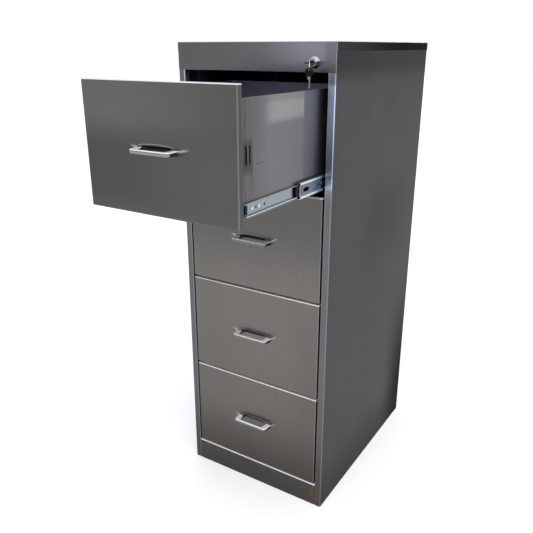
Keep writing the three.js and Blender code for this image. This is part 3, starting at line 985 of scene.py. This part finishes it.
class CABINET_OT_drawer_bodies(bpy.types.Operator):
    """Folds the four drawer bodies, rounds their lock catches and gives them pressed ribs"""

    bl_idname = "cabinet.drawer_bodies"
    bl_label = "Drawer bodies"

    def execute(self, context):
        sheet = settings(context).sheet
        for number in DRAWERS:
            body, catch = f"drawer_{number}", f"drawer_{number}_lock_catch"
            piece = finish_piece(tray(number, sheet), f"tray_{number}", body,
                                 "inner steel", [f"drawer_{number}_body"], tone=dim_face_light)
            middle = sum(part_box(f"drawer_{number}_body"), Vector()) / 2
            # The inner faces take the paler drawer inside: painted light.
            second_finish(piece, "drawer inside",
                          lambda face: face.normal.dot(middle - face.center) > 0.0)
            # The catch is dark zinc: painted shade inside its window.
            finish_piece(rounded(catch, sheet.edge), f"catch_{number}", body,
                         "dark zinc", [catch])
            finish_piece(catch_teeth(number), f"catch_teeth_{number}", body,
                         "zinc plate", tone=plated)
        return {"FINISHED"}


def arc(centre, radius, start, stop, steps):
    """Points on a circle, from one angle to another, in degrees."""
    angles = [math.radians(start + (stop - start) * i / steps) for i in range(steps + 1)]
    return [(centre[0] + radius * math.cos(a), centre[1] + radius * math.sin(a)) for a in angles]


def handle(number):
    """A bow pull whose feet widen towards the drawer face."""
    low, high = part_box(f"drawer_{number}_handle")
    face, reach = high.y, high.y - low.y
    foot, gap = high.x, 0.042
    neck = face - reach * 0.30
    outer_turn, inner_turn = 0.0105, 0.0065
    flare, flare_reach, rounding = 0.22, reach * 0.6, 0.0032
    outer = [
        (foot, face),
        (foot - 0.0022, neck),
        *arc((foot - 0.0135, low.y + outer_turn), outer_turn, 0, -90, 7),
    ]
    inner = [
        *arc((gap - 0.0095, low.y + 0.0145), inner_turn, -90, 0, 6),
        (gap - 0.001, neck),
        (gap, face),
    ]
    outline = outer + [(-x, y) for x, y in reversed(outer)]
    outline += [(-x, y) for x, y in reversed(inner)] + inner
    bm = prism(outline, "Z", low.z, high.z)
    middle = (low.z + high.z) / 2
    for vert in bm.verts:
        towards_face = max(0.0, (vert.co.y - (face - flare_reach)) / flare_reach)
        vert.co.z = middle + (vert.co.z - middle) * (1.0 + flare * towards_face)
    bm.normal_update()
    rims = [e for e in sharp_edges(bm, 1.0) if is_level(e, 0.002) and not lies_at(e, "y", face)]
    bevel(bm, rims, rounding, 5)
    return bm


def pull_tone(face, below=0.5):
    """Chrome's painted reflection: white on top, a dark line where the top turns down, grey below."""
    if face.normal.z > 0.35:
        return 1.0
    return 0.0 if face.normal.z > 0.05 else below


def low_pull_tone(face):
    """The same for the lower pulls, with a darker painted reflection on their undersides."""
    return pull_tone(face, 0.30)


class CABINET_OT_handles(bpy.types.Operator):
    """Shapes the four chrome pulls"""

    bl_idname = "cabinet.handles"
    bl_label = "Handles"

    def execute(self, context):
        for number in DRAWERS:
            finish_piece(handle(number), f"pull_{number}", f"drawer_{number}",
                         "shaped chrome", [f"drawer_{number}_handle"], smooth=50.0,
                         tone=pull_tone if number == 1 else low_pull_tone)
        return {"FINISHED"}


# ---------------------------------------------------------------- slides


def punch(bm, centre, radius, along="X", reach=0.0):
    """Punches a hole through the flat face at a point: round, or a slot with a reach to both sides in Y."""
    centre = Vector(centre)
    axes = [Vector(v) for v in ((1, 0, 0), (0, 1, 0), (0, 0, 1))]
    normal = axes.pop("XYZ".index(along))

    def here():
        bm.normal_update()
        return [f for f in bm.faces if abs(f.normal.dot(normal)) > 0.99
                and abs((f.calc_center_median() - centre).dot(normal)) < NEAR]

    for axis in axes:
        for side in (-1, 1):
            split_at(bm, centre + axis * (radius + reach * axis.y) * side, axis, here())
    spot = min(here(), key=lambda f: (f.calc_center_median() - centre).length)
    made = bmesh.ops.subdivide_edges(bm, edges=spot.edges[:], cuts=3, use_grid_fill=False)
    for vert in {*verts_of(made["geom_inner"]), *spot.verts}:
        core = centre + Vector((0, max(-reach, min(reach, vert.co.y - centre.y)), 0))
        vert.co = core + (vert.co - core).normalized() * radius
    bmesh.ops.delete(bm, geom=[spot], context="FACES_ONLY")


def stud(radius, x, y, z, height, rounding):
    """A low round head that faces +X."""
    return rod(radius, (x, y, z), (x + height, y, z), 16, rounding)


def inner_member(low, high):
    """The member fixed to the tray: a channel with rolled raceways, four holes and four screws."""
    middle, half = (low.z + high.z) / 2, (high.z - low.z) / 2
    bend, lip, lip_in = 0.0011, 0.0020, 0.0012
    hole, screw, head_height = 0.0036, 0.0036, 0.0011
    path = [
        (high.x - lip_in, middle + half - lip),
        (high.x, middle + half),
        (low.x, middle + half),
        (low.x, middle - half),
        (high.x, middle - half),
        (high.x - lip_in, middle - half + lip),
    ]
    bm = fold(path, "Y", low.y, high.y, bend, 0.0)
    for at in (0.041, 0.075, 0.205, 0.390):
        punch(bm, (low.x, low.y + at, middle), hole)
    thicken(bm, SLIDE_WALL)
    heads = [stud(screw, low.x + SLIDE_WALL, low.y + at, middle, head_height, head_height * 0.45)
             for at in (0.026, 0.052, 0.235, 0.420)]
    return joined(bm, *heads)


def outer_member(low, high):
    """The member fixed to the cabinet's uprights."""
    bend, lip, lip_in = 0.0012, 0.0022, 0.0012
    path = [
        (low.x, low.z + lip),
        (low.x + lip_in, low.z),
        (high.x, low.z),
        (high.x, high.z),
        (low.x + lip_in, high.z),
        (low.x, high.z - lip),
    ]
    return fold(path, "Y", low.y, high.y, bend, SLIDE_WALL)


def mid_member(low, high):
    """The middle member: a sunk web with a slot, holes and rivets, between two raised ball races."""
    middle, half = (low.z + high.z) / 2, (high.z - low.z) / 2
    web = low.x + 0.0059
    bend, lip, lip_in = 0.0008, 0.0024, 0.0008
    slot, slot_reach, hole = 0.005, 0.009, 0.0036
    rivet, rivet_height, rounding = 0.0032, 0.0010, 0.0003
    path = [(low.x, middle + half - lip), (low.x + lip_in, middle + half), (high.x, middle + half)]
    path += [(high.x, middle + 0.0142), (web, middle + 0.0128)]
    path += [(x, 2 * middle - z) for x, z in reversed(path)]
    bm = fold(path, "Y", low.y, high.y, bend, 0.0)
    split_at(bm, (0, low.y + MID_LIP, 0), (0, 1, 0))
    bm.normal_update()
    punch(bm, (web, low.y + 0.030, middle), slot, reach=slot_reach)
    for at in (0.092, 0.180, 0.330):
        punch(bm, (web, low.y + at, middle), hole)
    thicken(bm, SLIDE_WALL)
    rivets = [stud(rivet, web + 0.0009, low.y + at, middle, rivet_height, rounding)
              for at in (0.109, 0.250, 0.450)]
    return joined(bm, *rivets)


def retainer(low, high):
    """The moulded ball retainer that looks out of the front of a middle member, with a stop and a boss."""
    middle = (low.z + high.z) / 2
    near, far, boss = low.x + 0.0004, low.x + 0.0047, low.y + 0.092
    return joined(
        block((near, far), (low.y - 0.013, low.y + 0.004), middle, 0.0128, 0.0012),
        block((near + 0.0006, far - 0.0006), (low.y - 0.0145, low.y - 0.010), middle, 0.0040, 0.0007),
        block((low.x + 0.0052, low.x + 0.0074), (low.y + MID_LIP, low.y + 0.0066), middle, 0.0118, 0.0006),
        rod(0.0048, (near, boss, middle), (far, boss, middle), 20, 0.0004))


def end_cap(low, high):
    """The moulded tip on the front of an inner member."""
    return block((low.x + 0.0010, low.x + 0.0026), (low.y - 0.0008, low.y + 0.0080),
                 (low.z + high.z) / 2, 0.0098, 0.0006)


class CABINET_OT_slides(bpy.types.Operator):
    """Rolls the three members of every telescopic slide"""

    bl_idname = "cabinet.slides"
    bl_label = "Telescopic slides"

    def execute(self, context):
        race_level, rivet_face, rivet_level = 0.0135, 0.0074, 0.004
        screw_face, screw_level = 0.0016, 0.0045

        # Painted highlights on the middle member: its raised races, rivet heads and front lip are white,
        # other bends as rolled zinc.
        def race_tone(face):
            spot = face.calc_center_median()
            level = abs(spot.z - centre)
            rivet = spot.x > low.x + rivet_face and level < rivet_level
            bright = level > race_level or rivet or spot.y < low.y + MID_LIP
            return 1.0 if bright else plated(face)

        # Painted highlights on the fronts of the screw heads.
        def screw_tone(face):
            spot = face.calc_center_median()
            ahead = face.normal.x > 0.3 and spot.x > boxes["inner"][0].x + screw_face
            return 1.0 if ahead and abs(spot.z - centre) < screw_level else plated(face)

        for number in DRAWERS:
            right = f"drawer_{number}_slide"
            boxes = {member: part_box(f"{right}_{member}_right") for member in ("inner", "mid", "outer")}
            low, high = boxes["mid"]
            centre = (low.z + high.z) / 2
            drawer, middle = f"drawer_{number}", f"slides_{number}"
            makes = (
                ("inner", drawer, inner_member, boxes["inner"], "zinc_plate", "zinc plate", screw_tone),
                ("mid", middle, mid_member, boxes["mid"], "zinc_plate", "oiled zinc", race_tone),
                ("outer", "carcass", outer_member, boxes["outer"], "zinc_plate", "zinc plate", plated),
                ("tip", drawer, end_cap, boxes["inner"], "key_plastic", "black plastic", face_light),
                ("retainer", middle, retainer, boxes["mid"], "key_plastic", "black plastic", face_light),
            )
            for member, body, make, box, slot, finish, tone in makes:
                for side, sign in SIDES.items():
                    bm = make(*box)
                    if sign < 0:
                        mirror(bm)
                    stands_for = [f"{right}_{member}_{side}"] if member in boxes else ()
                    finish_piece(bm, f"slide_{number}_{member}_{side}", body, finish, stands_for,
                                 tone=tone)
        return {"FINISHED"}


# ---------------------------------------------------------------- lock and keys


class CABINET_OT_lock(bpy.types.Operator):
    """Turns the lock's housing, and rounds the plug, nut, cam, bar and guides behind it"""

    bl_idname = "cabinet.lock"
    bl_label = "Lock"

    def execute(self, context):
        low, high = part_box("lock_housing")
        centre = (low + high) / 2
        cap_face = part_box("top_cap")[0].y
        seat, rim_front = cap_face - 0.0003, cap_face - 0.0040
        bore, thread, boss, collar = 0.0075, 0.0095, 0.0110, (high.x - low.x) / 2
        profile = [
            (bore, high.y), (thread, high.y), (thread, seat), (collar, seat),
            (collar, cap_face - 0.0022), (collar - 0.0006, cap_face - 0.0034),
            (collar - 0.0018, rim_front), (boss, rim_front), (boss, low.y + 0.0012),
            (0.0106, low.y + 0.0004), (0.0098, low.y), (0.0082, low.y), (0.0076, low.y + 0.0006),
            (bore, low.y + 0.0014), (bore, high.y),
        ]

        # Painted highlights and reflections on the barrel: white on top and on its front ring, dark
        # elsewhere.
        def lock_tone(face):
            spot = face.calc_center_median()
            rim = (spot - centre).xz.length > 0.0105
            if face.normal.z > (0.2 if rim else 0.55):
                return 1.0
            return 0.8 if face.normal.y < -0.95 and spot.y < low.y + 0.002 else 0.12

        barrel = turned(profile, Vector((centre.x, 0, centre.z)), 48)
        finish_piece(barrel, "lock_barrel", "carcass", "shaped chrome",
                     ["lock_housing"], tone=lock_tone)
        for node, body, slot, finish, radius in (
                ("lock_plug", "lock_plug", "lock_chrome", "shaped chrome", 0.0004),
                ("lock_cam", "lock_plug", "zinc_plate", "zinc plate", 0.0004),
                ("lock_nut", "carcass", "zinc_plate", "zinc plate", 0.0005),
                ("lock_bar", "lock_bar", "zinc_plate", "zinc plate", 0.0003),
                ("lock_bar_guide_upper", "carcass", "zinc_plate", "zinc plate", 0.0003),
                ("lock_bar_guide_lower", "carcass", "zinc_plate", "zinc plate", 0.0003)):
            bm = rounded(node, radius, math.radians(40))
            finish_piece(bm, f"{node}_turned", body, finish, [node])
        return {"FINISHED"}


def key_blade(length, width, thickness, teeth):
    """A flat blade along -Z from the origin, facing Y: shoulders, then a narrower bit with cut teeth."""
    half, neck = width / 2, length * 0.22
    back, ridge = -half * 0.36, half * 0.72
    outline = [(-half, 0.0), (half, 0.0), (half, -neck), (ridge, -neck - 0.0008),
               (ridge, -length + half * 0.7), (half * 0.2, -length), (back + 0.0004, -length + 0.0008)]
    run = (length - neck - half) / len(teeth)
    z = -length + half * 0.8
    for depth in reversed(teeth):
        outline += [(back, z), (back + depth, z + run * 0.35), (back + depth, z + run * 0.6)]
        z += run
    outline += [(back, -neck - 0.0012), (-half, -neck)]
    return prism(outline, "Y", -thickness / 2, thickness / 2)


def key_bow(shoulder):
    """The plastic head of the key in the lock, cut off at its shoulder and closed."""
    bm = from_node("key_in_lock")
    split_at(bm, (0, shoulder, 0), (0, 1, 0))
    drop_faces(bm, lambda face: face.calc_center_median().y > shoulder)
    bmesh.ops.holes_fill(bm, edges=open_edges(bm), sides=0)
    bmesh.ops.recalc_face_normals(bm, faces=bm.faces)
    bevel(bm, sharp_edges(bm, math.radians(50)), 0.0006, 3)
    return bm


def wire_ring(radius, wire):
    """A ring of round wire, flat on the ground about the origin."""
    bm = bmesh.new()
    section = bmesh.ops.create_circle(bm, segments=10, radius=wire)["verts"]
    bmesh.ops.translate(bm, vec=(radius, 0, 0), verts=section)
    bmesh.ops.rotate(bm, cent=(0, 0, 0), matrix=Matrix.Rotation(QUARTER_TURN, 3, "X"), verts=section)
    bmesh.ops.spin(bm, geom=bm.verts[:] + bm.edges[:], cent=(0, 0, 0), axis=(0, 0, 1),
                   angle=math.tau, steps=48, use_merge=True)
    bmesh.ops.remove_doubles(bm, verts=bm.verts, dist=TOUCHING)
    bmesh.ops.recalc_face_normals(bm, faces=bm.faces)
    return bm


def round_head(radius, thickness, hole, hole_radius):
    """A round key head with a hole near its edge, flat on the ground about the origin."""
    bm = bmesh.new()
    bmesh.ops.create_circle(bm, cap_ends=True, segments=40, radius=radius)
    punch(bm, (0, hole, 0), hole_radius, "Z")
    drawn = bmesh.ops.extrude_face_region(bm, geom=bm.faces[:])["geom"]
    bmesh.ops.translate(bm, vec=(0, 0, thickness), verts=verts_of(drawn))
    bmesh.ops.translate(bm, vec=(0, 0, -thickness / 2), verts=bm.verts)
    bmesh.ops.recalc_face_normals(bm, faces=bm.faces)
    bevel(bm, sharp_edges(bm, math.radians(60)), 0.0005, 2)
    return bm


class CABINET_OT_keys(bpy.types.Operator):
    """Shapes the key in the lock, the ring, and the spare key that hangs from it"""

    bl_idname = "cabinet.keys"
    bl_label = "Keys"

    def execute(self, context):
        stood = Matrix.Rotation(QUARTER_TURN, 4, "X")
        low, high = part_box("key_in_lock")
        centre = (low + high) / 2
        shoulder = low.y + (high.x - low.x) / 2 + 0.0112
        finish_piece(key_bow(shoulder), "key_bow", "lock_plug", "black plastic",
                     ["key_in_lock"])
        blade = key_blade(high.y - shoulder, 0.0078, 0.0020, [0.0008, 0.0016, 0.0006, 0.0013])
        put(blade, (centre.x, shoulder, centre.z), stood)
        finish_piece(blade, "key_blade", "lock_plug", "key steel")

        low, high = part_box("key_ring")
        hub = (low + high) / 2
        heading = Matrix.Rotation(math.atan2(-(high.y - low.y), high.x - low.x), 4, "Z")
        ring = wire_ring(0.0070, 0.0008)
        put(ring, hub, heading @ stood)
        finish_piece(ring, "split_ring", "key_ring", "polished chrome", ["key_ring"])

        facing = Matrix.Rotation(math.atan2(0.5, 0.866), 4, "Z")
        drop = Vector((hub.x, hub.y, low.z - 0.0075))
        head = round_head(0.00975, 0.0022, 0.0058, 0.0024)
        put(head, drop, facing @ stood)
        finish_piece(head, "spare_key_head", "key_ring", "black plastic")
        spare = key_blade(0.0285, 0.0074, 0.0019, [0.0007, 0.0016, 0.0011, 0.0005])
        put(spare, drop - Vector((0, 0, 0.0088)), facing)
        finish_piece(spare, "spare_key_blade", "key_ring", "key steel")
        return {"FINISHED"}


# ---------------------------------------------------------------- stage


class CABINET_OT_finishes(bpy.types.Operator):
    """Mixes the cabinet's metals and plastics"""

    bl_idname = "cabinet.finishes"
    bl_label = "Finishes"

    def execute(self, context):
        mix_finishes(settings(context).finish)
        return {"FINISHED"}


def wide_light(name, towards, strength, width, colour):
    """A soft light that comes evenly from one side of the sky."""
    light = bpy.data.lights.new(name, "SUN")
    light.energy = strength
    light.angle = width
    light.color = colour
    lamp = bpy.data.objects.new(name, light)
    lamp.rotation_euler = Vector(towards).to_track_quat("Z", "Y").to_euler()
    bpy.context.scene.collection.objects.link(lamp)


def surroundings(brightness):
    """Pale walls all round that darken overhead."""
    world = bpy.data.worlds.new("studio")
    bpy.context.scene.world = world
    book = NodeBook("studio", world, "Background")
    direction = book.node("ShaderNodeTexCoord", {}, (), "Generated")
    height = book.node("ShaderNodeSeparateXYZ", {}, (direction,), "Z")
    stops = [(0.0, WHITE), (0.38, WHITE), (0.52, (0.22, 0.23, 0.27)), (1.0, (0.20, 0.21, 0.25))]
    book.set(Color=book.ramp(height, stops), Strength=brightness)


def pale_floor(stage):
    """A wide painted floor, lit a little from below so that its shadows stay soft."""
    half_width, drop = 30.0, 0.0005
    bm = bmesh.new()
    bmesh.ops.create_grid(bm, x_segments=8, y_segments=8, size=half_width)
    bmesh.ops.translate(bm, vec=(0, 0, -drop), verts=bm.verts)
    mesh = bpy.data.meshes.new("floor")
    bm.to_mesh(mesh)
    bm.free()
    floor = bpy.data.objects.new("floor", mesh)
    bpy.context.scene.collection.objects.link(floor)
    book = NodeBook("pale floor")
    cloud = book.noise(0.6, detail=3.0)
    paint = tuple(stage.floor)
    book.set(Base_Color=book.blend(cloud, tinted(paint, 0.99), paint), Roughness=0.75 + 0.1 * cloud,
             Emission_Color=WHITE, Emission_Strength=stage.glow)
    mesh.materials.append(book.owner)


class CABINET_OT_stage(bpy.types.Operator):
    """Lays the pale floor, hangs the lights and places the camera"""

    bl_idname = "cabinet.stage"
    bl_label = "Stage"

    def execute(self, context):
        stage = settings(context).stage
        pale_floor(stage)
        surroundings(stage.sky)
        wide_light("key_light", (0.45, -0.75, 1.5), stage.key, stage.key_width, (1.0, 0.99, 0.98))
        wide_light("fill_light", (-0.4, 0.7, 1.3), stage.fill, stage.key_width * 1.4, (0.93, 0.95, 1.0))
        camera = bpy.data.objects.new("camera", bpy.data.cameras.new("camera"))
        camera.data.sensor_width = 36.0
        camera.data.lens = stage.lens
        camera.location = stage.eye
        camera.rotation_euler = (QUARTER_TURN - stage.tilt, 0.0, stage.turn)
        camera.data.clip_start = 0.02
        camera.data.clip_end = 200.0
        context.scene.collection.objects.link(camera)
        context.scene.camera = camera
        context.scene.view_settings.view_transform = "Standard"
        return {"FINISHED"}


class CABINET_PT_sidebar(bpy.types.Panel):
    """Lists the sizes, finishes and building steps"""

    bl_label = "Filing Cabinet"
    bl_idname = "CABINET_PT_sidebar"
    bl_space_type = "VIEW_3D"
    bl_region_type = "UI"
    bl_category = "Cabinet"

    def draw(self, context):
        cabinet = settings(context)
        for group in (cabinet.sheet, cabinet.finish, cabinet.stage):
            box = self.layout.box()
            for name in group.bl_rna.properties.keys():
                if name not in ("rna_type", "name"):
                    box.prop(group, name)
        for step in STEPS:
            self.layout.operator(step.bl_idname)


STEPS = (
    CABINET_OT_finishes,
    CABINET_OT_side_panels,
    CABINET_OT_top_cap,
    CABINET_OT_base_and_back,
    CABINET_OT_drawer_fronts,
    CABINET_OT_drawer_bodies,
    CABINET_OT_handles,
    CABINET_OT_slides,
    CABINET_OT_lock,
    CABINET_OT_keys,
    CABINET_OT_stage,
)
CLASSES = (SheetSettings, FinishSettings, StageSettings, CabinetSettings, *STEPS, CABINET_PT_sidebar)


def register():
    for cls in CLASSES:
        bpy.utils.register_class(cls)
    bpy.types.Scene.cabinet = bpy.props.PointerProperty(type=CabinetSettings)


def unregister():
    del bpy.types.Scene.cabinet
    for cls in reversed(CLASSES):
        bpy.utils.unregister_class(cls)


def main():
    register()
    for step in STEPS:
        group, name = step.bl_idname.split(".")
        getattr(getattr(bpy.ops, group), name)()


if __name__ == "__main__":
    main()
